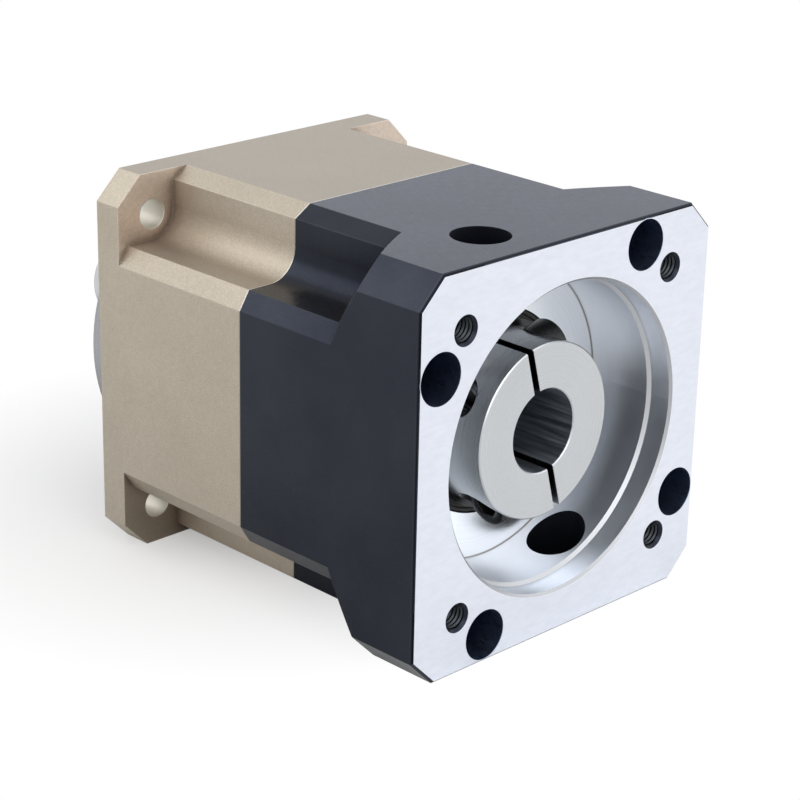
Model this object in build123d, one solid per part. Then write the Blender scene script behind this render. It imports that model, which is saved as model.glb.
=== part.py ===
from build123d import *
from math import acos, asin, cos, degrees, pi, radians, sin, sqrt, tan
import os

# Frame: the axis is +Y toward the output shaft, +Z is up, and the origin is the centre of the
# output flange's mounting face. Lengths in millimetres, angles in degrees.

# Body
FRAME_W = 90.0            # square across the flats
ADAPTER_L = 53.8          # motor face to the joint between the two bodies
FLANGE_T = 7.5            # output flange
FLANGE_CORNER = 6.5       # chamfer on the square flanges' corners
FLANGE_REAR = 18.0        # motor flange, face to the back of its corners
CORNER = 45.0             # direction of the square's corner, degrees
CHANNEL_IN = 15.8         # corner channels: flat to wall
CHANNEL_WALL = FRAME_W / 2 - CHANNEL_IN
CHANNEL_FILLET = 7.0
CHANNEL_LIP = 4.2         # bevel of the channel's edge, across the flat
CHANNEL_LIP_DEEP = 2.64   # and down the wall
EDGE_BREAK = 0.6

# Output flange and boss
BOSS_R = 40.0
BOSS_H = 10.0
EAR_HOLE_R = 3.5
EAR_PCD = FRAME_W + 10.0

# Motor side
PILOT_LAND = 10.0         # flat to pilot
PILOT_R = FRAME_W / 2 - PILOT_LAND
PILOT_DEPTH = 5.6
RECESS_STEP = 0.75        # pilot to recess wall
RECESS_R = PILOT_R - RECESS_STEP
RECESS_DEPTH = 22.5
MOTOR_PCD = FRAME_W
MOTOR_TAP_R = 2.7
MOTOR_TAP_DEPTH = 15.0
MOTOR_TAP_SINK = 0.7      # countersink of the tapped holes
ACCESS_R = 6.5
ACCESS_DEPTH = 13.65      # wrench holes and clamp screws, behind the motor face

# Long screws that join the two bodies
SCREW_TURN = 14.1         # turned from the corners, seen from the motor side
SCREW_HOLE_R = 5.75
SCREW_WALL = 0.637        # screw hole to the adapter's flat
SCREW_PCD = 2 * (FRAME_W / 2 - SCREW_WALL - SCREW_HOLE_R) / sin(radians(CORNER + SCREW_TURN))
SCREW_SEAT = 41.0         # motor face to the seat of the heads
SCREW_GRIP = 16.0         # thread in the gear housing
SCREW_R = 3.0
SCREW_HEAD_R = 5.0
SCREW_HEAD_H = 6.0
SCREW_HEX = 2.5           # socket, across flats / 2
SCREW_GAP = 0.3           # clearance round shank and head

# Gear set: sun drives, ring stands still, three planets carry the output
RING_SHARE = 58 / 75      # ring gear's pitch circle over the body's width
PRESSURE = 21.0           # transverse pressure angle
HELIX = 12.0
SUN_TEETH = 12
PLANET_TEETH = 18
RING_TEETH = SUN_TEETH + 2 * PLANET_TEETH
PLANETS = 3
MODULE = RING_SHARE * FRAME_W / RING_TEETH     # transverse
SHIFT = 0.25              # profile shift, plus on the sun and minus on planets and ring
BACKLASH = 0.10           # taken off each flank of sun and planets at the pitch circle
RING_SLACK = 0.18         # and off each ring flank, which is drawn straight
GEAR_W = 18.0             # ring and sun
PLANET_GAP = 0.3          # planet face to cage window
WINDOW_W = 17.6
FIRST_PLANET = 90.0       # direction of the first planet, seen from the motor side
SUN_TURN = 0.0
RING_WALL = 2.75          # ring gear, root to outside
SPIGOT_L = 3.0            # adapter spigot in the housing bore
FIT = 0.05                # sliding and locating fits

# Planet cage and output shaft
CAGE_GAP = 2.5            # ring gear's tips to cage
CAGE_FRONT_T = 7.0
CAGE_REAR_T = 5.4
WINDOW_CLEAR = 0.9        # round the planets' tips
SUN_CLEAR = 0.8           # hole in the front disc, round the sun
PIN_R = 4.5
NEEDLE_R = 1.5
NEEDLE_END = 0.4
RUN_GAP = 0.06            # rollers to raceways
SHAFT_R = 11.0
SHAFT_L = 36.0
SHAFT_END_CHAMFER = 1.0
SHOULDER_H = 2.0          # seal seat proud of the boss
TAP_R = 3.4               # centre thread M8
TAP_DEPTH = 20.0
KEY_W = 6.0
KEY_L = 28.0
KEY_SEAT = 3.5            # depth of the key's seat
KEY_INSET = 4.0           # shoulder to key

# Output bearings, one each side of the rib in the housing bore
SEAT_INNER_R = 22.5
SEAT_OUTER_R = 20.0
BEARING_R = 34.0
BEARING_W = 11.0
RIB_W = 2.6
RIB_R = 31.0
INNER_RACE_T = 2.6
OUTER_RACE_T = 3.0
SHOULDER_R = 25.5
SHOULDER_T = 0.5
SEAL_W = 5.0
SEAL_INSET = 0.2
SEAL_GAP = 0.7            # circlip to seal
CIRCLIP_T = 1.6
CIRCLIP_H = 2.6
CIRCLIP_DEEP = 1.2
CIRCLIP_SLOT = 60.0

# Input hub
HUB_SET = 6.25            # motor face to hub face
HUB_R = 20.0
HUB_CHAMFER = 0.25
HUB_BORE_R = 9.5
HUB_BORE_CHAMFER = 0.25
HUB_FRONT_L = 14.0        # slit clamp part
HUB_COLLAR_R = 21.5
HUB_COLLAR_T = 2.0
HUB_SEAL_R = 16.0
HUB_SEAT_R = 15.0
HUB_BORE_DEPTH = 36.0
SLIT_W = 1.8
SLIT_ANGLE = 105.5        # seen from the motor side, at rest
SLIT_L = 12.5
CLAMP_OFF = 14.0          # clamp screws to the axis
CLAMP_R = 3.0
CLAMP_HEAD_R = 5.0
CLAMP_HEAD_H = 6.0
CLAMP_SEAT = 7.8          # slit plane to head seat
CLAMP_POCKET_GAP = 0.6
SHANK_R = 7.5             # sun pinion's shank, pressed in the hub
SHANK_L = 7.0
NECK_R = 6.8
IN_BEARING_R = 23.5
IN_BEARING_W = 9.0
IN_RACE_T = 1.6
IN_SEAL_W = 7.0
IN_LIP_R = 21.0
IN_LIP_T = 3.0
CAVITY_R = 33.0

# Places along the axis
HOUSING_L = (SPIGOT_L + (GEAR_W + WINDOW_W) / 2 + CAGE_REAR_T + SHOULDER_T + 2 * BEARING_W + RIB_W
             + CIRCLIP_T + SEAL_GAP + SEAL_W + SEAL_INSET - BOSS_H)
BODY_L = ADAPTER_L + HOUSING_L          # motor face to output mounting face, 102.6
MOTOR_FACE = -BODY_L
JOINT = MOTOR_FACE + ADAPTER_L
EARS = -FLANGE_T
GEARS_Y0 = JOINT + SPIGOT_L
GEARS_Y1 = GEARS_Y0 + GEAR_W
WINDOW_Y0 = (GEARS_Y0 + GEARS_Y1 - WINDOW_W) / 2
WINDOW_Y1 = WINDOW_Y0 + WINDOW_W
PLANET_Y0 = WINDOW_Y0 + PLANET_GAP
PLANET_Y1 = WINDOW_Y1 - PLANET_GAP
CAGE_Y0 = WINDOW_Y0 - CAGE_FRONT_T
CAGE_Y1 = WINDOW_Y1 + CAGE_REAR_T
IN_BRG_Y0 = CAGE_Y1 + SHOULDER_T
IN_BRG_Y1 = IN_BRG_Y0 + BEARING_W
OUT_BRG_Y0 = IN_BRG_Y1 + RIB_W
OUT_BRG_Y1 = OUT_BRG_Y0 + BEARING_W
SHOULDER_Y = BOSS_H + SHOULDER_H
SHAFT_END = SHOULDER_Y + SHAFT_L
HUB_Y0 = MOTOR_FACE + HUB_SET
HUB_Y1 = HUB_Y0 + HUB_FRONT_L
COLLAR_Y1 = HUB_Y1 + HUB_COLLAR_T
CLAMP_Y = MOTOR_FACE + ACCESS_DEPTH
BORE_END = HUB_Y0 + HUB_BORE_DEPTH
SEAL_IN_Y0 = MOTOR_FACE + RECESS_DEPTH + SEAL_INSET
SEAL_IN_Y1 = SEAL_IN_Y0 + IN_SEAL_W
HUB_BRG_Y0 = SEAL_IN_Y1 + SEAL_INSET
HUB_BRG_Y1 = HUB_BRG_Y0 + IN_BEARING_W
HUB_END = BORE_END + SHANK_L

# Gear radii
SUN_R = MODULE * SUN_TEETH / 2
PLANET_R = MODULE * PLANET_TEETH / 2
RING_R = MODULE * RING_TEETH / 2
ORBIT = SUN_R + PLANET_R
SUN_TIP = SUN_R + MODULE * (1 + SHIFT)
PLANET_TIP = PLANET_R + MODULE * (1 - SHIFT)
RING_ROOT = RING_R + MODULE * (1.25 - SHIFT)
RING_TIP = RING_R - MODULE * (1 + SHIFT)
RING_OUT = RING_ROOT + RING_WALL
PLANET_BORE = PIN_R + 2 * NEEDLE_R + 2 * RUN_GAP
CAGE_R = RING_TIP - CAGE_GAP


def prism(outline, y0, y1):
    """Outline drawn in X and Z, as seen from the motor side, made solid from y0 to y1."""
    return extrude(Plane.XZ.offset(-y1) * outline, amount=y1 - y0)


def turned(*points):
    """Closed profile of (radius, y) points turned round the axis."""
    return revolve(make_face(Polyline(*points, close=True)), axis=Axis.Y)


def ring(inner, outer, y0, y1):
    return turned((inner, y0), (outer, y0), (outer, y1), (inner, y1))


def rods(radius, y0, y1, count, circle_r, start):
    """Round bars along the axis, evenly spaced on a circle."""
    return prism(Sketch() + PolarLocations(circle_r, count, start) * Circle(radius), y0, y1)


# Bodies
def flange_outline():
    return chamfer(Rectangle(FRAME_W, FRAME_W).vertices(), FLANGE_CORNER)


def body_outline():
    """Square with a channel along each corner."""
    flat = FRAME_W / 2
    wall = CHANNEL_WALL
    corner = [(wall - CHANNEL_LIP, flat), (wall, flat - CHANNEL_LIP_DEEP), (wall, wall),
              (flat - CHANNEL_LIP_DEEP, wall), (flat, wall - CHANNEL_LIP)]
    points = []
    for k in range(4):
        c, s = round(cos(-k * pi / 2)), round(sin(-k * pi / 2))
        points += [(c * x - s * z, s * x + c * z) for x, z in corner]
    outline = make_face(Polyline(*points, close=True))
    inside = [v for v in outline.vertices() if abs(abs(v.X) - abs(v.Y)) < 0.01]
    return fillet(inside, CHANNEL_FILLET)


def gear_housing():
    """Body with the square output flange and the boss, bored for ring gear, bearings and seal."""
    body = prism(body_outline(), JOINT, EARS) + prism(flange_outline(), EARS, 0)
    body += turned((0, -1), (BOSS_R, -1), (BOSS_R, BOSS_H - EDGE_BREAK),
                   (BOSS_R - EDGE_BREAK, BOSS_H), (0, BOSS_H))
    body -= turned((0, JOINT), (RING_OUT + FIT, JOINT), (RING_OUT + FIT, GEARS_Y1),
                   (BEARING_R + FIT / 2, GEARS_Y1), (BEARING_R + FIT / 2, IN_BRG_Y1), (RIB_R, IN_BRG_Y1),
                   (RIB_R, OUT_BRG_Y0), (BEARING_R + FIT / 2, OUT_BRG_Y0),
                   (BEARING_R + FIT / 2, BOSS_H), (0, BOSS_H))
    body -= rods(EAR_HOLE_R, EARS, 0, 4, EAR_PCD / 2, CORNER)
    return body - rods(SCREW_R, JOINT, JOINT + SCREW_GRIP + 1, 4, SCREW_PCD / 2, CORNER + SCREW_TURN)


def motor_adapter():
    """Body with the motor flange, whose corners fall back to the channels in a 45 degree cone."""
    half = FRAME_W / 2
    corner_r = sqrt(half ** 2 + (half - FLANGE_CORNER) ** 2)
    channel_r = sqrt(2) * (CHANNEL_WALL + CHANNEL_FILLET) - CHANNEL_FILLET
    cone_y = MOTOR_FACE + FLANGE_REAR
    cone = turned((0, MOTOR_FACE), (corner_r + 1, MOTOR_FACE), (corner_r + 1, cone_y - 1),
                  (channel_r - 1, cone_y + corner_r - channel_r + 1),
                  (0, cone_y + corner_r - channel_r + 1))
    body = prism(body_outline(), MOTOR_FACE, JOINT)
    body += prism(flange_outline(), MOTOR_FACE, JOINT) & cone
    body += ring(CAVITY_R, RING_OUT, JOINT - 1, JOINT + SPIGOT_L)
    step = PILOT_R - RECESS_R
    pilot_y = MOTOR_FACE + PILOT_DEPTH
    recess_y = MOTOR_FACE + RECESS_DEPTH
    body -= turned((0, MOTOR_FACE), (PILOT_R + EDGE_BREAK, MOTOR_FACE),
                   (PILOT_R, MOTOR_FACE + EDGE_BREAK), (PILOT_R, pilot_y), (RECESS_R, pilot_y + step),
                   (RECESS_R, recess_y), (IN_BEARING_R + FIT / 2, recess_y),
                   (IN_BEARING_R + FIT / 2, HUB_BRG_Y1), (IN_LIP_R, HUB_BRG_Y1),
                   (IN_LIP_R, HUB_BRG_Y1 + IN_LIP_T), (CAVITY_R, HUB_BRG_Y1 + IN_LIP_T),
                   (CAVITY_R, JOINT), (0, JOINT))
    body -= rods(MOTOR_TAP_R, MOTOR_FACE, MOTOR_FACE + MOTOR_TAP_DEPTH, 4, MOTOR_PCD / 2, CORNER)
    seat_y = MOTOR_FACE + SCREW_SEAT
    body -= rods(SCREW_HOLE_R, MOTOR_FACE, seat_y, 4, SCREW_PCD / 2, CORNER + SCREW_TURN)
    body -= rods(SCREW_R + SCREW_GAP, seat_y, JOINT, 4, SCREW_PCD / 2, CORNER + SCREW_TURN)
    cone = extrude(Circle(MOTOR_TAP_R + MOTOR_TAP_SINK), amount=MOTOR_TAP_SINK, taper=CORNER)
    for k in range(4):
        a = radians(CORNER + 90 * k)
        place = Pos(MOTOR_PCD / 2 * cos(a), MOTOR_FACE, MOTOR_PCD / 2 * sin(a))
        body -= place * Rot(-90, 0, 0) * cone
    for side in (1, -1):
        body -= Pos(-side * CLAMP_OFF, CLAMP_Y, side * half / 2) * Cylinder(ACCESS_R, half)
    edge = body.faces().sort_by(Axis.Y)[0].outer_wire().edges()
    return chamfer(edge, EDGE_BREAK)


def socket_screw(head_r, head_h, hex_r, shank_r, shank_l):
    """Screw along +Z with its head's seat at z = 0 and the head below it."""
    head = Pos(0, 0, -head_h) * extrude(Circle(head_r), amount=head_h)
    socket = Pos(0, 0, -head_h) * extrude(RegularPolygon(hex_r, 6, major_radius=False),
                                          amount=head_h / 2)
    return head + extrude(Circle(shank_r), amount=shank_l) - socket


def housing_screws():
    screw = socket_screw(SCREW_HEAD_R, SCREW_HEAD_H, SCREW_HEX, SCREW_R - FIT,
                         ADAPTER_L - SCREW_SEAT + SCREW_GRIP)
    screws = []
    for k in range(4):
        a = radians(CORNER + SCREW_TURN + 90 * k)
        place = Pos(SCREW_PCD / 2 * cos(a), MOTOR_FACE + SCREW_SEAT, SCREW_PCD / 2 * sin(a))
        screws.append(place * Rot(-90, 0, 0) * screw)
    return Compound(children=screws)


# Gears
def inv(a):
    return tan(a) - a


def flank(radius, pitch_r, half_pitch_angle):
    """Half the width of an involute tooth at a radius, as an angle."""
    base = pitch_r * cos(radians(PRESSURE))
    at = acos(min(1.0, base / max(radius, base)))
    return half_pitch_angle + inv(radians(PRESSURE)) - inv(at)


def toothed(z, root_r, tip_r, shift, slack, steps, turn):
    """Corners of a gear section with z teeth, the first one pointing to the angle turn."""
    pitch_r = MODULE * z / 2
    half = (pi / 2 + 2 * shift * tan(radians(PRESSURE))) / z - slack / pitch_r
    radii = [root_r + (tip_r - root_r) * k / steps for k in range(steps + 1)]
    points = []
    for tooth in range(z):
        middle = radians(turn) + 2 * pi * tooth / z
        rise = [(r, middle - flank(r, pitch_r, half)) for r in radii]
        fall = [(r, middle + flank(r, pitch_r, half)) for r in reversed(radii)]
        points += [(r * cos(a), r * sin(a)) for r, a in rise + fall]
    return points


def helical(section, pitch_r, hand, y0, y1, spans):
    """Gear between y0 and y1 from section(turn), its twisted strips split into flat triangles."""
    middle = (GEARS_Y0 + GEARS_Y1) / 2
    rate = hand * degrees(tan(radians(HELIX)) / pitch_r)
    stations = [y0 + (y1 - y0) * k / spans for k in range(spans + 1)]
    rows = [[Vector(x, y, z) for x, z in section(rate * (middle - y))] for y in stations]
    faces = [Face(Wire.make_polygon(rows[0])), Face(Wire.make_polygon(rows[-1]))]
    for near, far in zip(rows, rows[1:]):
        for a, b, c, d in zip(near, near[1:] + near[:1], far, far[1:] + far[:1]):
            faces += [Face(Wire.make_polygon([a, b, c])), Face(Wire.make_polygon([b, d, c]))]
    return Solid(Shell(faces))


def planet_angle(k):
    return FIRST_PLANET + 360 * k / PLANETS


def planet_turn(k):
    """Turn that puts a planet's tooth space on the sun tooth nearest to it."""
    past = ((planet_angle(k) - SUN_TURN) / (360 / SUN_TEETH)) % 1
    return planet_angle(k) + 180 + (past - 0.5) * 360 / PLANET_TEETH


def ring_turn():
    """Turn that puts a ring tooth space on the first planet's outermost tooth."""
    past = ((planet_angle(0) - planet_turn(0)) / (360 / PLANET_TEETH)) % 1
    return planet_angle(0) - past * 360 / RING_TEETH


def sun_gear():
    root = SUN_R - MODULE * (1.25 - SHIFT)
    teeth = helical(lambda t: toothed(SUN_TEETH, root, SUN_TIP, SHIFT, BACKLASH, 2, SUN_TURN + t),
                    SUN_R, 1, GEARS_Y0, PLANET_Y1, 3)
    neck = turned((0, BORE_END + FIT), (SHANK_R, BORE_END + FIT), (SHANK_R, HUB_END),
                  (NECK_R, HUB_END), (NECK_R, GEARS_Y0), (0, GEARS_Y0))
    return teeth + neck


def planet_gear(k):
    root = PLANET_R - MODULE * (1.25 + SHIFT)
    teeth = helical(lambda t: toothed(PLANET_TEETH, root, PLANET_TIP, -SHIFT, BACKLASH, 2, t + planet_turn(k)),
                    PLANET_R, -1, PLANET_Y0, PLANET_Y1, 2)
    gear = teeth - ring(0, PLANET_BORE, PLANET_Y0, PLANET_Y1)
    a = radians(planet_angle(k))
    return Pos(ORBIT * cos(a), 0, ORBIT * sin(a)) * gear


def ring_gear():
    teeth = helical(lambda t: toothed(RING_TEETH, RING_TIP, RING_ROOT, -SHIFT, -RING_SLACK, 1, t + ring_turn()),
                    RING_R, -1, GEARS_Y0, GEARS_Y1, 2)
    return ring(0, RING_OUT, GEARS_Y0, GEARS_Y1) - teeth


# Rolling elements, made as many-sided prisms inside the true round
def roller_set(radius, circle_r, y0, y1, start=0.0):
    count = int(pi / asin((radius + RUN_GAP / 2) / circle_r))
    outline = Sketch() + PolarLocations(circle_r, count, start) * RegularPolygon(radius, 8)
    return prism(outline, y0, y1)


def needle_rollers(k):
    rollers = roller_set(NEEDLE_R, PIN_R + NEEDLE_R + RUN_GAP, PLANET_Y0 + NEEDLE_END,
                         PLANET_Y1 - NEEDLE_END)
    a = radians(planet_angle(k))
    return Pos(ORBIT * cos(a), 0, ORBIT * sin(a)) * rollers


def bearing(seat_r, out_r, y0, y1, inner_t, outer_t):
    """Inner ring, outer ring and rollers of a full-complement roller bearing."""
    inner_race = seat_r + inner_t
    outer_race = out_r - outer_t
    roller_r = (outer_race - inner_race) / 2 - RUN_GAP
    rollers = roller_set(roller_r, (outer_race + inner_race) / 2, y0 + NEEDLE_END, y1 - NEEDLE_END)
    return ring(seat_r, inner_race, y0, y1), ring(outer_race, out_r, y0, y1), rollers


# Planet cage and shaft
def output_carrier():
    """Cage with three windows, bearing journals, seal seat and keyed shaft in one piece."""
    body = turned((0, CAGE_Y0), (CAGE_R, CAGE_Y0), (CAGE_R, CAGE_Y1), (SHOULDER_R, CAGE_Y1),
                  (SHOULDER_R, IN_BRG_Y0), (SEAT_INNER_R - FIT / 2, IN_BRG_Y0),
                  (SEAT_INNER_R - FIT / 2, OUT_BRG_Y0),
                  (SEAT_OUTER_R - FIT / 2, OUT_BRG_Y0), (SEAT_OUTER_R - FIT / 2, OUT_BRG_Y1),
                  (SEAT_OUTER_R - CIRCLIP_DEEP, OUT_BRG_Y1),
                  (SEAT_OUTER_R - CIRCLIP_DEEP, OUT_BRG_Y1 + CIRCLIP_T + FIT),
                  (SEAT_OUTER_R - FIT / 2, OUT_BRG_Y1 + CIRCLIP_T + FIT),
                  (SEAT_OUTER_R - FIT / 2, SHOULDER_Y),
                  (SHAFT_R, SHOULDER_Y), (SHAFT_R, SHAFT_END - SHAFT_END_CHAMFER),
                  (SHAFT_R - SHAFT_END_CHAMFER, SHAFT_END), (0, SHAFT_END))
    body = Rot(0, -90, 0) * body      # brings the round faces' seams under the key
    windows = rods(PLANET_TIP + WINDOW_CLEAR, WINDOW_Y0, WINDOW_Y1, PLANETS, ORBIT, FIRST_PLANET)
    body -= windows + ring(0, SUN_TIP + SUN_CLEAR, CAGE_Y0, WINDOW_Y1)
    body -= rods(PIN_R, CAGE_Y0, CAGE_Y1 - 1, PLANETS, ORBIT, FIRST_PLANET)
    body -= ring(0, TAP_R, SHAFT_END - TAP_DEPTH, SHAFT_END)
    return body - key_seat()


def key_seat():
    """Round-ended seat for a parallel key, on top of the shaft."""
    y = SHOULDER_Y + KEY_INSET + KEY_L / 2
    outline = Rot(0, 0, 90) * SlotOverall(KEY_L, KEY_W)
    return Pos(0, y, SHAFT_R - KEY_SEAT) * extrude(outline, amount=2 * KEY_SEAT)


def planet_pins():
    return rods(PIN_R, CAGE_Y0 + PLANET_GAP, CAGE_Y1 - 1, PLANETS, ORBIT, FIRST_PLANET)


def circlip(groove_r, y0):
    """Open retaining ring in a shaft groove."""
    full = ring(groove_r, groove_r + CIRCLIP_H, y0, y0 + CIRCLIP_T)
    reach = 2 * groove_r
    side = reach * tan(radians(CIRCLIP_SLOT / 2))
    gap = make_face(Polyline((0, 0), (side, -reach), (-side, -reach), close=True))
    return full - prism(gap, y0, y0 + CIRCLIP_T)


def seal(lip_r, out_r, y0, y1):
    """Lip seal, bevelled behind the lip that runs on the shaft."""
    wall = (out_r - lip_r) / 6
    return turned((lip_r + FIT, y0 + wall), (lip_r + 2 * wall, y0), (out_r, y0), (out_r, y1),
                  (lip_r + FIT, y1))


# Input hub
def slit_frame():
    """Plane along the clamp screws: x to the first screw's head, z from the axis to the screw."""
    return Rot(0, 90 - SLIT_ANGLE, 0)


def input_hub():
    """Clamp part with two slits, collar, seal seat and bearing journal, bored from both ends."""
    body = turned((HUB_BORE_R + HUB_BORE_CHAMFER, HUB_Y0), (HUB_R - HUB_CHAMFER, HUB_Y0),
                  (HUB_R, HUB_Y0 + HUB_CHAMFER), (HUB_R, HUB_Y1), (HUB_COLLAR_R, HUB_Y1),
                  (HUB_COLLAR_R, COLLAR_Y1), (HUB_SEAL_R, COLLAR_Y1), (HUB_SEAL_R, HUB_BRG_Y0),
                  (HUB_SEAT_R - FIT / 2, HUB_BRG_Y0), (HUB_SEAT_R - FIT / 2, HUB_BRG_Y1),
                  (HUB_SEAT_R - CIRCLIP_DEEP, HUB_BRG_Y1),
                  (HUB_SEAT_R - CIRCLIP_DEEP, HUB_BRG_Y1 + CIRCLIP_T + FIT),
                  (HUB_SEAT_R - FIT / 2, HUB_BRG_Y1 + CIRCLIP_T + FIT), (HUB_SEAT_R - FIT / 2, HUB_END),
                  (SHANK_R, HUB_END), (SHANK_R, BORE_END), (HUB_BORE_R, BORE_END),
                  (HUB_BORE_R, HUB_Y0 + HUB_BORE_CHAMFER))
    cut = Pos(0, HUB_Y0 + SLIT_L / 2, 0) * Box(SLIT_W, SLIT_L, 3 * HUB_R)
    for side in (0, 180):
        place = Rot(0, side, 0) * Pos(0, CLAMP_Y, CLAMP_OFF) * Rot(0, 90, 0)
        cut += place * Cylinder(CLAMP_R + FIT, 3 * HUB_R)
        cut += place * Pos(0, 0, CLAMP_SEAT + HUB_R) * Cylinder(CLAMP_HEAD_R + CLAMP_POCKET_GAP, 2 * HUB_R)
    return body - slit_frame() * cut


def clamp_screws():
    """Two cross screws, each head on its own side of the slit."""
    length = CLAMP_SEAT + sqrt(HUB_R ** 2 - CLAMP_OFF ** 2) - 2
    screw = socket_screw(CLAMP_HEAD_R, CLAMP_HEAD_H, SCREW_HEX, CLAMP_R, length)
    placed = [Rot(0, side, 0) * Pos(CLAMP_SEAT, CLAMP_Y, CLAMP_OFF) * Rot(0, -90, 0) * screw
              for side in (0, 180)]
    return Compound(children=[slit_frame() * s for s in placed])


pieces = {
    "gear_housing": gear_housing(),
    "motor_adapter": motor_adapter(),
    "housing_screws": housing_screws(),
    "ring_gear": ring_gear(),
    "sun_gear": sun_gear(),
    "planet_pins": planet_pins(),
    "output_carrier": output_carrier(),
    "shaft_circlip": circlip(SEAT_OUTER_R - CIRCLIP_DEEP, OUT_BRG_Y1),
    "output_seal": seal(SEAT_OUTER_R, BEARING_R, BOSS_H - SEAL_INSET - SEAL_W, BOSS_H - SEAL_INSET),
    "input_hub": input_hub(),
    "clamp_screws": clamp_screws(),
    "hub_circlip": circlip(HUB_SEAT_R - CIRCLIP_DEEP, HUB_BRG_Y1),
    "input_seal": seal(HUB_SEAL_R, IN_BEARING_R, SEAL_IN_Y0, SEAL_IN_Y1),
}
for k in range(PLANETS):
    pieces[f"planet_gear_{k + 1}"] = planet_gear(k)
    pieces[f"needle_rollers_{k + 1}"] = needle_rollers(k)
bearings = {
    "inner_bearing": (SEAT_INNER_R, BEARING_R, IN_BRG_Y0, IN_BRG_Y1, INNER_RACE_T, OUTER_RACE_T),
    "outer_bearing": (SEAT_OUTER_R, BEARING_R, OUT_BRG_Y0, OUT_BRG_Y1, INNER_RACE_T, OUTER_RACE_T),
    "input_bearing": (HUB_SEAT_R, IN_BEARING_R, HUB_BRG_Y0, HUB_BRG_Y1, IN_RACE_T, IN_RACE_T),
}
for name, sizes in bearings.items():
    inner, outer, rollers = bearing(*sizes)
    pieces[name + "_inner_ring"] = inner
    pieces[name + "_outer_ring"] = outer
    pieces[name + "_rollers"] = rollers

os.makedirs("parts", exist_ok=True)
for name, piece in pieces.items():
    export_step(piece, f"parts/{name}.step")
    print(name, len(piece.solids()), round(sum(s.volume for s in piece.solids()), 1))
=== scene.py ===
from math import cos, pi, radians, sin, sqrt, tau

import bmesh
import bpy
from mathutils import Matrix, Vector


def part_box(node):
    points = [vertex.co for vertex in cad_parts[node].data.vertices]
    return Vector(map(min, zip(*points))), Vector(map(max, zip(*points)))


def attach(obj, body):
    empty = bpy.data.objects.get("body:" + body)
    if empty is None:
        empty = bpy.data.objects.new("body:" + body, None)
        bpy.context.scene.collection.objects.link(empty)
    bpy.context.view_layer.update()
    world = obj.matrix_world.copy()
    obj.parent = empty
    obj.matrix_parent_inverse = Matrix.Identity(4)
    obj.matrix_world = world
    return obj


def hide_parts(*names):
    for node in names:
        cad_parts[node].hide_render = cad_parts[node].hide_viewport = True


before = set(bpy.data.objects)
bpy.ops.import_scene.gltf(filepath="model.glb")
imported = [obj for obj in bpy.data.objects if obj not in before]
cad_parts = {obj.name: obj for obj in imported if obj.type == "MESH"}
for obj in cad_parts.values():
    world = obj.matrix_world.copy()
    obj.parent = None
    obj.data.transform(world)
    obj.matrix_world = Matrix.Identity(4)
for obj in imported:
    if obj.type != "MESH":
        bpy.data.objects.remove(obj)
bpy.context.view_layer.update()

# Sizes of the model in metres, y along the axis toward the output shaft
MM = 0.001
FLAT = 45 * MM                  # axis to each flat side
MOTOR_FACE = -102.6 * MM
JOINT = -48.8 * MM              # where housing and adapter meet
SHAFT_END = 48 * MM
BOSS_R = 40 * MM
EAR_BACKS = -20 * MM            # past this y, a face toward the motor is an ear's back
EAR_HOLE_R = 3.5 * MM
EAR_CIRCLE_R = 50 * MM
HOLE_CIRCLE_R = 45 * MM         # of the four taps and of the four screw holes
SCREW_TURN = 14.1               # screw holes from the corners, in degrees
SCREW_HOLE_R = 5.75 * MM
SCREW_SEAT = 41 * MM            # depth of the heads' seats below the motor face
PILOT_MOUTH_R = 35.6 * MM
RECESS_R = 34.25 * MM
RECESS_Y = -80.1 * MM
INPUT_SEAL_R = 23.5 * MM
HUB_R = 20 * MM
HUB_BORE_R = 9.5 * MM
COLLAR_Y = -82.35 * MM
CLAMP_Y = -88.95 * MM
CLAMP_SEAT = 7.8 * MM           # from the slit to a clamp screw's head seat
CLAMP_OFF = 14 * MM             # clamp screws from the axis
SLIT_TURN = radians(105.5)
WRENCH_R = 6.5 * MM

# Socket head screws, M6
SHANK_R = 3 * MM
HEAD_R = 4.98 * MM
HEAD_H = 6 * MM
HEX = 2.5 * MM
SOCKET_DEPTH = 3 * MM


# Camera
def aim_camera():
    """Camera at the photograph's place, from its fitted view direction."""
    place = (-0.35388, -0.40843, 0.18690)
    forward = Vector((0.65815, 0.66237, -0.35792)).normalized()
    up = Vector((0.23680, 0.26915, 0.93353)).normalized()
    right = forward.cross(up)
    data = bpy.data.cameras.new("camera")
    data.sensor_width = 36
    data.lens = 106.03
    camera = bpy.data.objects.new("camera", data)
    turn = Matrix((right, up, -forward)).transposed().to_4x4()
    camera.matrix_world = Matrix.Translation(place) @ turn
    bpy.context.scene.collection.objects.link(camera)
    bpy.context.scene.camera = camera


# Materials
def add_node(tree, kind, inputs=None, **settings):
    """New node, with each input linked to a socket or set to a value."""
    node = tree.nodes.new(kind)
    for name, value in settings.items():
        setattr(node, name, value)
    for socket, value in (inputs or {}).items():
        if isinstance(value, bpy.types.NodeSocket):
            tree.links.new(value, node.inputs[socket])
        else:
            node.inputs[socket].default_value = value
    return node


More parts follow.
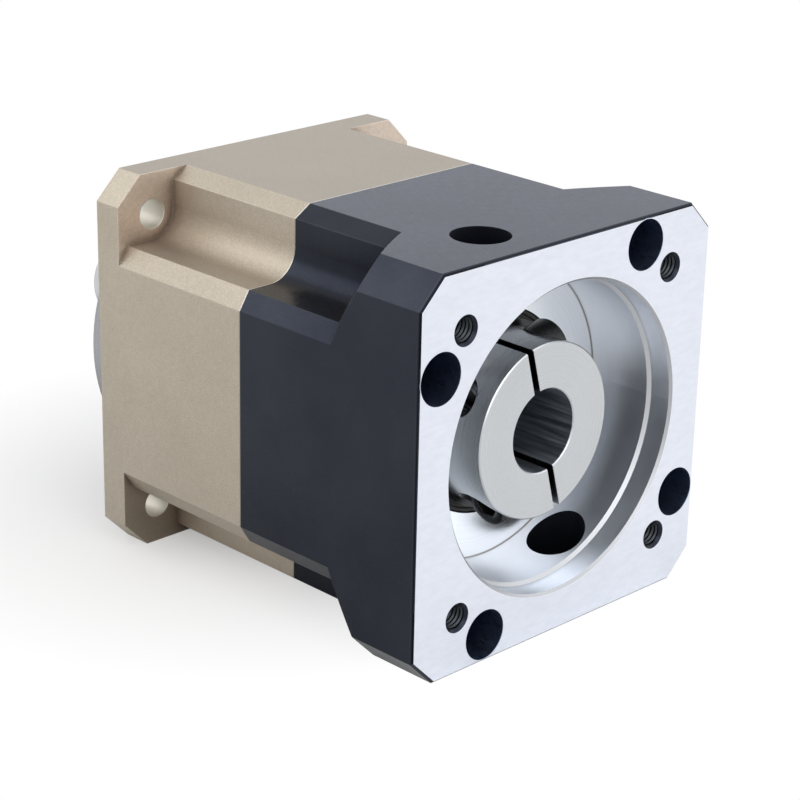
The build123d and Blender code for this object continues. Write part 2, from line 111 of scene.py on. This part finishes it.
class Surface:
    """One procedural material, with short calls for the nodes it is made of."""

    def __init__(self, name, **sockets):
        self.material = bpy.data.materials.new(name)
        self.material.use_nodes = True
        self.tree = self.material.node_tree
        self.shader = self.tree.nodes["Principled BSDF"]
        for socket, value in sockets.items():
            self.shader.inputs[socket.replace("_", " ")].default_value = value
        self.place = self.add("ShaderNodeTexCoord").outputs["Object"]
        self.x, self.y, self.z = self.add("ShaderNodeSeparateXYZ", {0: self.place}).outputs
        self.radius = self.math("SQRT", self.math("ADD", self.both(self.x, self.x),
                                                  self.both(self.z, self.z)))
        # The normal in the object's own frame, so that the marks turn with their body
        facing = self.add("ShaderNodeVectorTransform", {0: self.normal()}, vector_type="NORMAL",
                          convert_from="WORLD", convert_to="OBJECT").outputs[0]
        _, self.along, self.upward = self.add("ShaderNodeSeparateXYZ", {0: facing}).outputs

    def add(self, kind, inputs=None, **settings):
        return add_node(self.tree, kind, inputs, **settings)

    def normal(self):
        return self.add("ShaderNodeNewGeometry").outputs["Normal"]

    def math(self, operation, a, b=0.0):
        return self.add("ShaderNodeMath", {0: a, 1: b}, operation=operation).outputs[0]

    def less(self, a, b):
        return self.math("LESS_THAN", a, b)

    def more(self, a, b):
        return self.math("GREATER_THAN", a, b)

    def both(self, a, b):
        return self.math("MULTIPLY", a, b)

    def either(self, a, b):
        return self.math("MAXIMUM", a, b)

    def amount(self, value):
        return self.math("ABSOLUTE", value)

    def gap(self, a, b):
        return self.amount(self.math("SUBTRACT", a, b))

    def gap_squared(self, a, b):
        return self.math("POWER", self.math("SUBTRACT", a, b), 2.0)

    def fade(self, value, low, high, start=0.0, end=1.0):
        """A value's way from low to high, as a share from start to end."""
        return self.add("ShaderNodeMapRange", {"Value": value, "From Min": low, "From Max": high,
                                               "To Min": start, "To Max": end}).outputs[0]

    def blend(self, share, a, b):
        """Mix of two colours, or of two numbers."""
        number = all(isinstance(v, float) or getattr(v, "type", "") == "VALUE" for v in (a, b))
        first, second, out = (2, 3, 0) if number else (6, 7, 2)
        return self.add("ShaderNodeMix", {0: share, first: a, second: b},
                        data_type="FLOAT" if number else "RGBA").outputs[out]

    def choose(self, share, a, b):
        """Mix of two vectors."""
        return self.add("ShaderNodeMix", {0: share, 4: a, 5: b},
                        data_type="VECTOR").outputs[1]

    def between(self, noise, dark, light):
        """Mix of two colours by a noise, over the range that the noise really fills."""
        return self.blend(self.fade(noise, 0.3, 0.7), dark, light)

    def layers(self, tone, *steps):
        """A tone with each (share, colour) laid over it in turn."""
        for share, colour in steps:
            tone = self.blend(share, tone, colour)
        return tone

    def noise(self, scale, detail=2.0, stretch=(1, 1, 1), rough=0.5):
        """Noise with features of about 1 / scale metres, longer where stretch is under 1."""
        place = self.add("ShaderNodeMapping", {0: self.place, "Scale": stretch}).outputs[0]
        return self.add("ShaderNodeTexNoise", {"Vector": place, "Scale": scale,
                                               "Detail": detail, "Roughness": rough}).outputs[0]

    def rings(self, value, scale):
        """Fine turning marks, as one-dimensional noise of a radius or a place along the axis."""
        return self.add("ShaderNodeTexNoise", {"W": value, "Scale": scale, "Detail": 2.0},
                        noise_dimensions="1D").outputs[0]

    def open_share(self, distance):
        """How open the surface is around the point: lower in corners and hollows."""
        return self.add("ShaderNodeAmbientOcclusion", {"Distance": distance}, samples=4,
                        only_local=True).outputs["AO"]

    def edges(self, radius):
        """Normal rounded at outer edges only, and how near to such an edge the point is."""
        rounded = self.add("ShaderNodeBevel", {"Radius": radius}, samples=4).outputs[0]
        plain = self.normal()
        match = self.add("ShaderNodeVectorMath", {0: rounded, 1: plain},
                         operation="DOT_PRODUCT").outputs["Value"]
        outer = self.fade(self.open_share(4 * radius), 0.62, 0.8)
        normal = self.choose(outer, plain, rounded)
        return normal, self.both(outer, self.fade(match, 0.995, 0.9))

    def bump(self, height, depth, normal=None, strength=1.0):
        inputs = {"Height": height, "Distance": depth, "Strength": strength}
        if normal is not None:
            inputs["Normal"] = normal
        return self.add("ShaderNodeBump", inputs).outputs[0]

    def corner_holes(self, turn, reach, circle=HOLE_CIRCLE_R):
        """True inside four holes on a circle round the axis, turned from the corners."""
        c, n = cos(radians(turn)), sin(radians(turn))
        across = self.math("ADD", self.both(self.x, c), self.both(self.z, n))
        up = self.math("SUBTRACT", self.both(self.z, c), self.both(self.x, n))
        squares = [self.gap_squared(self.amount(v), circle * sqrt(0.5)) for v in (across, up)]
        return self.less(self.math("ADD", *squares), reach ** 2)

    def set(self, **sockets):
        """The finished material, with these sockets of its shader linked."""
        for name, value in sockets.items():
            self.tree.links.new(value, self.shader.inputs[name.replace("_", " ")])
        return self.material


def grey(v, tint=0.0):
    """Linear grey, bluer with a positive tint."""
    return (v * (1 - tint), v, v * (1 + tint), 1)


def champagne():
    """Bead-blasted, hard-anodised housing with its bare turned boss."""
    s = Surface("champagne_aluminium", Metallic=1.0)
    speckle = s.noise(3600, 2.0, rough=0.8)
    mottle = s.noise(900, 3.0, rough=0.6)
    cloud = s.noise(45, 3.0)
    rounded, edge = s.edges(0.35 * MM)

    # Tones on parts of the housing, most of them painted light and shade: a darker top, ear
    # backs lighter above and darker towards the bottom, a warm tint and darkening in hollows,
    # nooks and corners, and a light and dark line along the seam
    # Painted shade: faces that point up get a darker tone
    top_shade = s.fade(s.upward, 0.9, 1.0, 0.0, 0.55)
    # Painted light and shade: the ear backs, which face the motor, get a lighter, pinker tone
    # that darkens towards the bottom
    ear = s.both(s.more(s.y, EAR_BACKS), s.less(s.along, -0.7))
    ear_light_and_shade = s.blend(s.fade(s.z, -38 * MM, -10 * MM),
                       (0.30, 0.25, 0.205, 1), (0.70, 0.59, 0.51, 1))
    ear_holes = s.corner_holes(0.0, EAR_HOLE_R + 0.1 * MM, EAR_CIRCLE_R)
    # Painted shade: a warm, pinker tint in hollows and darker nooks and corners, from how open
    # the surface is
    hollow_shade = s.both(s.fade(s.open_share(14 * MM), 0.92, 0.45), s.math("SUBTRACT", 1.0, ear))
    nook_shade = s.fade(s.open_share(10 * MM), 0.72, 0.38)
    corner_shade = s.fade(s.open_share(4 * MM), 0.8, 0.45)
    # Painted highlight and shade: a light line along the seam on upward faces and a dark one on
    # its sides
    seam = s.fade(s.gap(s.y, JOINT), 0.0, 0.35 * MM, 0.75, 0.0)
    seam_light_and_shade = s.blend(s.fade(s.upward, 0.2, 0.5),
                        (0.16, 0.135, 0.11, 1), (0.90, 0.88, 0.83, 1))
    tone = s.layers(
        s.between(cloud, (0.492, 0.438, 0.360, 1), (0.535, 0.479, 0.398, 1)),
        (s.both(ear, 0.8), ear_light_and_shade),
        (top_shade, (0.33, 0.285, 0.235, 1)),
        (s.fade(mottle, 0.35, 0.65, 0.0, 0.25), (0.36, 0.32, 0.255, 1)),
        (s.fade(speckle, 0.42, 0.56, 0.25, 0.0), (0.20, 0.17, 0.125, 1)),
        (s.fade(speckle, 0.56, 0.72, 0.0, 0.35), (0.86, 0.81, 0.70, 1)),
        (s.both(hollow_shade, 0.6), (0.54, 0.435, 0.365, 1)),
        (s.both(nook_shade, 0.5), (0.20, 0.155, 0.125, 1)),
        (s.both(corner_shade, 0.85), (0.13, 0.095, 0.075, 1)),
        (ear_holes, (0.58, 0.55, 0.48, 1)),
        (s.both(edge, s.fade(mottle, 0.35, 0.6, 0.15, 0.5)), (0.74, 0.70, 0.62, 1)),
        (seam, seam_light_and_shade))

    boss = s.both(s.more(s.y, 0.05 * MM), s.less(s.radius, BOSS_R + MM))
    turned = s.blend(s.fade(s.amount(s.along), 0.4, 0.6),
                     s.rings(s.y, 3000), s.rings(s.radius, 3600))
    steel = s.blend(turned, (0.30, 0.31, 0.33, 1), (0.40, 0.41, 0.43, 1))
    normal = s.choose(boss, s.bump(speckle, 0.09 * MM, rounded, 0.8),
                      s.bump(turned, 0.006 * MM, rounded, 0.5))
    rough = s.blend(boss, s.fade(speckle, 0.3, 0.7, 0.42, 0.54),
                    s.fade(turned, 0.3, 0.7, 0.24, 0.32))
    return s.set(Base_Color=s.blend(boss, tone, steel), Roughness=rough, Normal=normal)


def black_anodised():
    """Black adapter whose motor face and recess are machined bright."""
    s = Surface("black_anodised", Metallic=1.0)
    rounded, edge = s.edges(0.3 * MM)
    grain = s.noise(2600, 3.0, (1, 0.15, 1), 0.65)
    cloud = s.noise(60, 2.0)

    # Wrench holes, the bright motor face and the bright inside of the recess
    side = s.math("ADD", s.both(s.x, s.math("SIGN", s.z)), CLAMP_OFF)
    reach = s.math("ADD", s.both(side, side), s.gap_squared(s.y, CLAMP_Y))
    wrench = s.less(reach, (WRENCH_R + 0.05 * MM) ** 2)
    face = s.both(s.less(s.y, MOTOR_FACE + 0.05 * MM), s.less(s.along, -0.9))
    inside = s.both(s.both(s.less(s.radius, PILOT_MOUTH_R + 0.1 * MM),
                           s.math("SUBTRACT", 1.0, wrench)),
                    s.both(s.less(s.y, RECESS_Y + 0.1 * MM),
                           s.more(s.radius, INPUT_SEAL_R + 0.1 * MM)))
    bright = s.either(face, inside)

    # Black outside with painted shade in its hollows, darkest along its edge to the motor face,
    # where a painted shade line runs
    hollow_shade = s.fade(s.open_share(14 * MM), 0.97, 0.62)
    screw_holes = s.corner_holes(SCREW_TURN, SCREW_HOLE_R + 0.15 * MM)
    outside = s.either(s.more(s.either(s.amount(s.x), s.amount(s.z)), FLAT - 0.4 * MM),
                       s.more(s.radius, FLAT + 7 * MM))
    # Painted shade: a near-black line on the outside next to the motor face, left off faces that
    # point down
    rim = s.fade(s.y, MOTOR_FACE + 0.3 * MM, MOTOR_FACE + 0.5 * MM, 0.8, 0.0)
    rim = s.both(s.both(rim, outside), s.fade(s.upward, -0.4, -0.1))
    black = s.layers(
        s.between(cloud, (0.026, 0.030, 0.041, 1), (0.033, 0.038, 0.050, 1)),
        (s.both(edge, s.fade(grain, 0.35, 0.65, 0.15, 0.4)), (0.105, 0.115, 0.14, 1)),
        (s.both(hollow_shade, 0.9), (0.006, 0.007, 0.011, 1)),
        (s.both(screw_holes, 0.8), (0.37, 0.46, 0.65, 1)),
        (rim, (0.003, 0.003, 0.004, 1)))

    # Bright metal: the recess floor is turned, its walls are smooth, the face is milled
    floor_face = s.less(s.along, -0.8)
    marks = s.blend(inside, s.noise(900, 3.0, (0.35, 1, 1), 0.6),
                    s.blend(floor_face, s.noise(260, 3.0, (0.5, 1, 0.5)),
                            s.rings(s.radius, 2400)))
    plate = s.between(marks, (0.745, 0.78, 0.86, 1), (0.795, 0.83, 0.91, 1))
    pilot = s.more(s.radius, RECESS_R + 0.2 * MM)
    recess_floor = s.both(floor_face, s.more(s.y, RECESS_Y - MM))
    # Painted shade: the chamfers of the recess get a darker tone, the mouth's darkest, which
    # dims their reflections
    bevel = s.both(s.more(s.along, -0.9), s.less(s.along, -0.4))
    mouth = s.less(s.y, MOTOR_FACE + MM)
    # Painted shade: a dark line where the wall meets the floor, from the squared distance to it
    corner_shade = s.math("ADD", s.gap_squared(s.radius, RECESS_R), s.gap_squared(s.y, RECESS_Y))
    corner_shade = s.fade(corner_shade, (0.1 * MM) ** 2, (0.4 * MM) ** 2, 0.6, 0.0)
    bowl = s.layers(
        s.between(marks, (0.60, 0.62, 0.66, 1), (0.64, 0.66, 0.70, 1)),
        (pilot, s.between(marks, (0.82, 0.85, 0.90, 1), (0.87, 0.90, 0.95, 1))),
        (recess_floor, s.between(marks, (0.88, 0.91, 0.95, 1), (0.93, 0.96, 0.99, 1))),
        (bevel, s.blend(mouth, (0.47, 0.48, 0.50, 1), (0.40, 0.41, 0.43, 1))),
        (corner_shade, (0.20, 0.18, 0.15, 1)))
    metal = s.blend(inside, plate, bowl)

    bowl_rough = s.blend(bevel, s.fade(marks, 0.3, 0.7, 0.28, 0.32), 0.45)
    rough = s.blend(inside, s.fade(marks, 0.3, 0.7, 0.30, 0.36), bowl_rough)
    dull = s.blend(wrench, s.fade(grain, 0.3, 0.7, 0.26, 0.34), 0.85)
    normal = s.choose(bright, s.bump(grain, 0.02 * MM, rounded, 0.22),
                      s.bump(marks, 0.0015 * MM, strength=0.02))
    return s.set(Base_Color=s.blend(bright, black, metal),
                 Roughness=s.blend(bright, dull, rough), Normal=normal)


def turned_steel(name, dark=grey(0.56, 0.02), light=grey(0.66, 0.02), smooth=0.27):
    """Turned or ground steel: rings on its ends and fine turns on its round faces."""
    s = Surface(name, Metallic=1.0)
    end_face = s.fade(s.amount(s.along), 0.6, 0.9)
    marks = s.blend(end_face, s.rings(s.y, 2600), s.rings(s.radius, 2600))
    cloud = s.noise(140, 3.0)
    tone = s.blend(s.fade(marks, 0.25, 0.75), dark, light)
    tone = s.blend(s.fade(cloud, 0.35, 0.75, 0.0, 0.25), tone, s.blend(0.8, grey(0.0), tone))
    return s.set(Base_Color=tone, Roughness=s.fade(marks, 0.3, 0.7, smooth, smooth + 0.06),
                 Normal=s.bump(marks, 0.003 * MM, strength=0.5))


def hub_steel():
    """Satin hub: faced front, turned outside, and a bore honed along its length."""
    s = Surface("hub_steel", Metallic=1.0, Anisotropic=0.35)
    s.set(Tangent=s.add("ShaderNodeTangent", direction_type="RADIAL", axis="Y").outputs[0])
    end_face = s.fade(s.amount(s.along), 0.6, 0.9)
    bore = s.less(s.radius, HUB_BORE_R + 0.1 * MM)
    turns = s.blend(end_face, s.rings(s.y, 2200), s.rings(s.radius, 3000))
    honed = s.noise(1500, 2.0, (1, 0.04, 1), 0.5)
    marks = s.blend(bore, turns, honed)
    cloud = s.noise(90, 3.0)
    front = s.blend(s.fade(cloud, 0.35, 0.75, 0.0, 0.2),
                    s.between(marks, grey(0.585, 0.03), grey(0.61, 0.03)), grey(0.52, 0.04))
    outside = s.between(turns, grey(0.45, 0.03), grey(0.48, 0.03))
    bore_tone = s.blend(s.fade(honed, 0.35, 0.65), grey(0.32, 0.09), grey(0.55, 0.09))
    # Painted shade: the collar's front face and the hollows of the hub are darkened nearly to
    # black
    collar = s.both(s.less(s.gap(s.y, COLLAR_Y), 0.1 * MM), s.less(s.along, -0.8))
    shade = s.either(collar, s.fade(s.open_share(7 * MM), 0.82, 0.5))
    tone = s.layers(s.blend(end_face, outside, front), (bore, bore_tone),
                    (s.both(shade, 0.92), grey(0.02, 0.1)))
    rough = s.blend(bore, s.fade(marks, 0.3, 0.7, 0.27, 0.30),
                    s.fade(honed, 0.3, 0.7, 0.40, 0.55))
    return s.set(Base_Color=tone, Roughness=rough,
                 Normal=s.bump(marks, 0.002 * MM, strength=0.03))


def black_oxide():
    """Blackened screws and rings, rubbed at their edges."""
    s = Surface("black_oxide", Metallic=0.7)
    rounded, edge = s.edges(0.15 * MM)
    grain = s.noise(1800, 3.0, rough=0.6)
    worn = s.both(edge, s.fade(grain, 0.4, 0.6, 0.2, 0.7))
    tone = s.blend(worn, s.between(grain, grey(0.014, 0.05), grey(0.035, 0.05)), grey(0.22))
    return s.set(Base_Color=tone, Roughness=s.fade(grain, 0.3, 0.7, 0.28, 0.42),
                 Normal=s.bump(grain, 0.015 * MM, rounded, 0.4))


def rubber():
    """Moulded seal rubber."""
    s = Surface("seal_rubber", IOR=1.5)
    rounded, edge = s.edges(0.2 * MM)
    grain = s.noise(1400, 4.0, rough=0.6)
    tone = s.between(grain, (0.018, 0.017, 0.016, 1), (0.034, 0.032, 0.030, 1))
    return s.set(Base_Color=s.blend(edge, tone, (0.06, 0.056, 0.05, 1)),
                 Roughness=s.fade(grain, 0.3, 0.7, 0.5, 0.66),
                 Normal=s.bump(grain, 0.03 * MM, rounded, 0.4))


def ground_teeth():
    """Case-hardened gear steel, ground along the teeth, with a film of grease in its colour."""
    s = Surface("ground_gear_steel", Metallic=1.0)
    rounded, edge = s.edges(0.12 * MM)
    marks = s.noise(2200, 3.0, (1, 0.06, 1), 0.6)
    film = s.noise(160, 3.0)
    tone = s.layers(s.between(marks, grey(0.34), grey(0.52)),
                    (s.fade(film, 0.45, 0.75, 0.0, 0.35), (0.30, 0.24, 0.14, 1)),
                    (edge, grey(0.72)))
    return s.set(Base_Color=tone, Roughness=s.fade(film, 0.3, 0.7, 0.2, 0.38),
                 Normal=s.bump(marks, 0.01 * MM, rounded, 0.5))


# Meshes
def new_piece(name, build, material, body, smooth=30):
    """Object from a bmesh builder, shaded smooth below the given angle, riding on a body."""
    mesh = bpy.data.meshes.new(name)
    bm = bmesh.new()
    build(bm)
    bmesh.ops.recalc_face_normals(bm, faces=bm.faces)
    for f in bm.faces:
        f.smooth = True
    for e in bm.edges:
        if len(e.link_faces) == 2 and e.calc_face_angle(0) > radians(smooth):
            e.smooth = False
    bm.to_mesh(mesh)
    bm.free()
    mesh.materials.append(material)
    piece = bpy.data.objects.new(name, mesh)
    bpy.context.scene.collection.objects.link(piece)
    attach(piece, body)
    return piece


def skin(bm, loops):
    """Faces from each closed loop of vertices to the next."""
    for low, high in zip(loops, loops[1:]):
        n = len(low)
        for k in range(n):
            bm.faces.new((low[k], low[(k + 1) % n], high[(k + 1) % n], high[k]))


def hexagon(apothem, angle):
    return apothem / cos((angle % (pi / 3)) - pi / 6)


def lathe(bm, rings, place, n=144):
    """Closed body from (shape, radius, height) rings round local Z, carried to its place."""
    loops = []
    for shape, size, height in rings:
        loop = []
        for k in range(n):
            a = tau * k / n
            r = hexagon(size, a) if shape == "hex" else size
            loop.append(bm.verts.new(place @ Vector((r * cos(a), r * sin(a), height))))
        loops.append(loop)
    skin(bm, loops)
    bm.faces.new(loops[0])
    bm.faces.new(loops[-1])


def turned_ring(bm, profile, n=160):
    """Closed (radius, y) profile turned round the main axis."""
    loops = [[bm.verts.new((r * cos(tau * k / n), y, r * sin(tau * k / n))) for k in range(n)]
             for r, y in profile]
    skin(bm, loops + loops[:1])


def thread(bm, place, base_r, crest_r, pitch, length, steps=32, run_out=8):
    """Helical ridge along local Z, from its base radius to its crest."""
    count = int(length / pitch * steps)
    rows = []
    for k in range(count + 1):
        a = tau * k / steps
        z = pitch * k / steps
        crest = base_r + (crest_r - base_r) * min(1.0, k / run_out, (count - k) / run_out)
        section = ((base_r, -0.42 * pitch), (crest, -0.06 * pitch),
                   (crest, 0.06 * pitch), (base_r, 0.42 * pitch))
        rows.append([bm.verts.new(place @ Vector((r * cos(a), r * sin(a), z + dz)))
                     for r, dz in section])
    skin(bm, rows)
    bm.faces.new(rows[0])
    bm.faces.new(rows[-1])


def axis_frame(origin, direction):
    """Local Z to the given direction at the given point."""
    turn = Vector(direction).to_track_quat("Z", "Y").to_matrix().to_4x4()
    return Matrix.Translation(Vector(origin)) @ turn


def socket_head(bm, place, length):
    """Socket head screw: its head below local z = 0 and its threaded shank above it."""
    core_r = SHANK_R - 0.3 * MM
    lathe(bm, [("round", 0.4 * MM, -SOCKET_DEPTH), ("hex", 1.6 * MM, -SOCKET_DEPTH),
               ("hex", HEX, -SOCKET_DEPTH - 0.15 * MM), ("hex", HEX, -HEAD_H + 0.25 * MM),
               ("round", 3.15 * MM, -HEAD_H + 0.04 * MM), ("round", 3.3 * MM, -HEAD_H),
               ("round", HEAD_R - 0.75 * MM, -HEAD_H),
               ("round", HEAD_R - 0.25 * MM, -HEAD_H + 0.22 * MM),
               ("round", HEAD_R, -HEAD_H + 0.7 * MM), ("round", HEAD_R, -0.5 * MM),
               ("round", HEAD_R - 0.15 * MM, -0.02 * MM), ("round", core_r, -0.02 * MM),
               ("round", core_r, length - 0.6 * MM),
               ("round", SHANK_R - 0.8 * MM, length)], place)
    thread(bm, place @ Matrix.Translation((0, 0, 1.5 * MM)), base_r=SHANK_R - 0.32 * MM,
           crest_r=SHANK_R, pitch=MM, length=length - 2.4 * MM)


def clamp_places():
    """Head seats of the two cross screws, and the way they point."""
    head_way = Vector((sin(SLIT_TURN), 0, -cos(SLIT_TURN)))
    off_way = Vector((cos(SLIT_TURN), 0, sin(SLIT_TURN)))
    for side in (1, -1):
        seat = Vector((0, CLAMP_Y, 0)) + off_way * (CLAMP_OFF * side)
        yield seat + head_way * (CLAMP_SEAT * side), -head_way * side


def hole_places(turn=0.0):
    """x and z of four holes in the motor face, turned from the corners by some degrees."""
    for k in range(4):
        a = radians(45 + 90 * k + turn)
        yield HOLE_CIRCLE_R * cos(a), HOLE_CIRCLE_R * sin(a)


def fasteners(black):
    """Both sets of screws, in place of the plain ones."""
    def clamp_set(bm):
        for seat, way in clamp_places():
            socket_head(bm, axis_frame(seat, way), length=20 * MM)

    def housing_set(bm):
        for x, z in hole_places(SCREW_TURN):
            place = axis_frame((x, MOTOR_FACE + SCREW_SEAT, z), (0, 1, 0))
            socket_head(bm, place, length=28.8 * MM)

    piece = new_piece("clamp_screw_set", clamp_set, black, "input")
    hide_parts("clamp_screws")
    piece = new_piece("housing_screw_set", housing_set, black, "housing")
    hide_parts("housing_screws")


def tapped_holes(steel, tap_metal_and_shade):
    """Thread ridges in the motor taps, the shaft's end and the hub."""
    def motor_taps(bm):
        for x, z in hole_places():
            thread(bm, axis_frame((x, MOTOR_FACE + 0.9 * MM, z), (0, 1, 0)),
                   base_r=2.72 * MM, crest_r=2.4 * MM, pitch=MM, length=13 * MM)

    def shaft_tap(bm):
        thread(bm, axis_frame((0, SHAFT_END - 0.9 * MM, 0), (0, -1, 0)),
               base_r=3.42 * MM, crest_r=3.1 * MM, pitch=1.25 * MM, length=17 * MM)

    def hub_taps(bm):
        # From a screw's head seat to the hub's outside beyond its tip
        reach = sqrt(HUB_R ** 2 - CLAMP_OFF ** 2) + CLAMP_SEAT
        for seat, way in clamp_places():
            thread(bm, axis_frame(seat + way * (reach - 2.2 * MM), way),
                   base_r=3.07 * MM, crest_r=2.75 * MM, pitch=0.9 * MM, length=1.7 * MM)

    for name, build, metal, body in (("motor_tap_threads", motor_taps, tap_metal_and_shade, "housing"),
                                     ("shaft_tap_thread", shaft_tap, steel, "output"),
                                     ("hub_tap_threads", hub_taps, tap_metal_and_shade, "input")):
        new_piece(name, build, metal, body)


def seals(material):
    """Lip seals with a pressed case edge, a groove and the lip on the shaft."""
    for node, lip_r, out_r, front, way in (
            ("output_seal", 20.02 * MM, 34 * MM, 9.8 * MM, -1),
            ("input_seal", 16.02 * MM, INPUT_SEAL_R, RECESS_Y + 0.2 * MM, 1)):
        low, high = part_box(node)
        depth = high[1] - low[1]
        wall = (out_r - lip_r) / 8
        # Radius of each step, and how deep it lies as a share of the seal's depth
        steps = [(lip_r, 0.35), (lip_r + 0.7 * wall, 0.12), (lip_r + 1.8 * wall, 0.10),
                 (lip_r + 2.4 * wall, 0.30), (lip_r + 4.2 * wall, 0.30),
                 (lip_r + 4.8 * wall, 0.10), (out_r - 1.2 * wall, 0.06),
                 (out_r - 0.9 * wall, 0.0), (out_r - 0.25 * wall, 0.0),
                 (out_r, 0.08), (out_r, 1.0), (lip_r + 2 * wall, 1.0), (lip_r, 0.7)]
        profile = [(r, front + way * depth * t) for r, t in steps]
        piece = new_piece(node + "_lip", lambda bm, p=profile: turned_ring(bm, p),
                          material, "housing")
        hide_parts(node)


# Studio
def add_floor():
    """Pale floor that keeps the shadow near the object and runs out to white."""
    bm = bmesh.new()
    bmesh.ops.create_grid(bm, x_segments=8, y_segments=8, size=3)
    mesh = bpy.data.meshes.new("floor")
    bm.to_mesh(mesh)
    bm.free()
    floor = bpy.data.objects.new("floor", mesh)
    floor.location = (0, 0, -FLAT - 0.02 * MM)
    bpy.context.scene.collection.objects.link(floor)
    material = bpy.data.materials.new("floor")
    material.use_nodes = True
    tree = material.node_tree
    pale = tree.nodes["Principled BSDF"]
    pale.inputs["Base Color"].default_value = grey(0.86)
    pale.inputs["Roughness"].default_value = 0.9
    white = add_node(tree, "ShaderNodeEmission")
    rays = add_node(tree, "ShaderNodeLightPath").outputs
    place = add_node(tree, "ShaderNodeTexCoord").outputs["Object"]
    distance = add_node(tree, "ShaderNodeVectorMath", {0: place}, operation="LENGTH")
    shares = []
    for ray, near, far in (("Is Camera Ray", -0.01, 0.10), ("Is Glossy Ray", 0.08, 0.145)):
        fade = add_node(tree, "ShaderNodeMapRange", {"Value": distance.outputs["Value"],
                                                     "From Min": near, "From Max": far})
        shares.append(add_node(tree, "ShaderNodeMath", {0: fade.outputs[0], 1: rays[ray]},
                               operation="MULTIPLY").outputs[0])
    share = add_node(tree, "ShaderNodeMath", {0: shares[0], 1: shares[1]},
                     operation="MAXIMUM").outputs[0]
    mix = add_node(tree, "ShaderNodeMixShader",
                   {0: share, 1: pale.outputs[0], 2: white.outputs[0]})
    tree.links.new(mix.outputs[0], tree.nodes["Material Output"].inputs["Surface"])
    mesh.materials.append(material)


def add_world():
    """White world for the camera and for reflections, which lights the object less."""
    world = bpy.data.worlds.new("studio")
    world.use_nodes = True
    tree = world.node_tree
    backdrop = tree.nodes["Background"]
    backdrop.inputs["Color"].default_value = (1, 1, 1, 1)
    rays = add_node(tree, "ShaderNodeLightPath").outputs
    mirrored = add_node(tree, "ShaderNodeMath", {0: rays["Is Glossy Ray"],
                                                 1: rays["Is Transmission Ray"]},
                        operation="MAXIMUM").outputs[0]
    seen = add_node(tree, "ShaderNodeMath", {0: rays["Is Camera Ray"], 1: mirrored},
                    operation="MAXIMUM").outputs[0]
    strength = add_node(tree, "ShaderNodeMapRange", {"Value": seen, "To Min": 0.45})
    tree.links.new(strength.outputs[0], backdrop.inputs["Strength"])
    bpy.context.scene.world = world


def add_lamps():
    """Large soft lamps, all turned to the middle of the object."""
    middle = Vector((0, -0.03, 0))
    for name, place, size, power, colour in (
            ("key", (-0.55, -0.75, 0.75), 1.2, 8.0, (1, 1, 1)),
            ("fill", (0.75, -0.65, 0.45), 1.4, 5.0, (1, 1, 1)),
            ("back", (-0.5, 0.8, 0.7), 0.7, 1.9, (1, 1, 1)),
            ("rim", (0.85, 0.85, 0.48), 0.8, 0.5, (0.45, 0.6, 1))):
        data = bpy.data.lights.new(name, "AREA")
        data.size = size
        data.energy = power
        data.color = colour
        lamp = bpy.data.objects.new(name, data)
        lamp.location = place
        lamp.rotation_mode = "QUATERNION"
        lamp.rotation_quaternion = (middle - Vector(place)).to_track_quat("-Z", "Y")
        bpy.context.scene.collection.objects.link(lamp)


aim_camera()
steel = turned_steel("bright_steel")
black = black_oxide()
seal_material = rubber()
gear_steel = ground_teeth()
finishes = {"gear_housing": champagne(), "motor_adapter": black_anodised(),
            "input_hub": hub_steel()}
for nodes, finish in (
        (("housing_screws", "clamp_screws", "shaft_circlip", "hub_circlip"), black),
        (("output_seal", "input_seal"), seal_material),
        (("ring_gear", "sun_gear", "planet_gear_1", "planet_gear_2", "planet_gear_3"),
         gear_steel)):
    finishes.update(dict.fromkeys(nodes, finish))
for node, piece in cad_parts.items():
    piece.data.materials.clear()
    piece.data.materials.append(finishes.get(node, steel))
fasteners(black)
# Near-black metal for the tapped threads: painted shade in the hub's steel taps, and a dark tone
# in the motor taps
tapped_holes(steel, turned_steel("tapped_thread", grey(0.035, 0.12), grey(0.09, 0.12), 0.42))
seals(seal_material)
add_floor()
add_world()
add_lamps()
bpy.context.scene.view_settings.view_transform = "Standard"
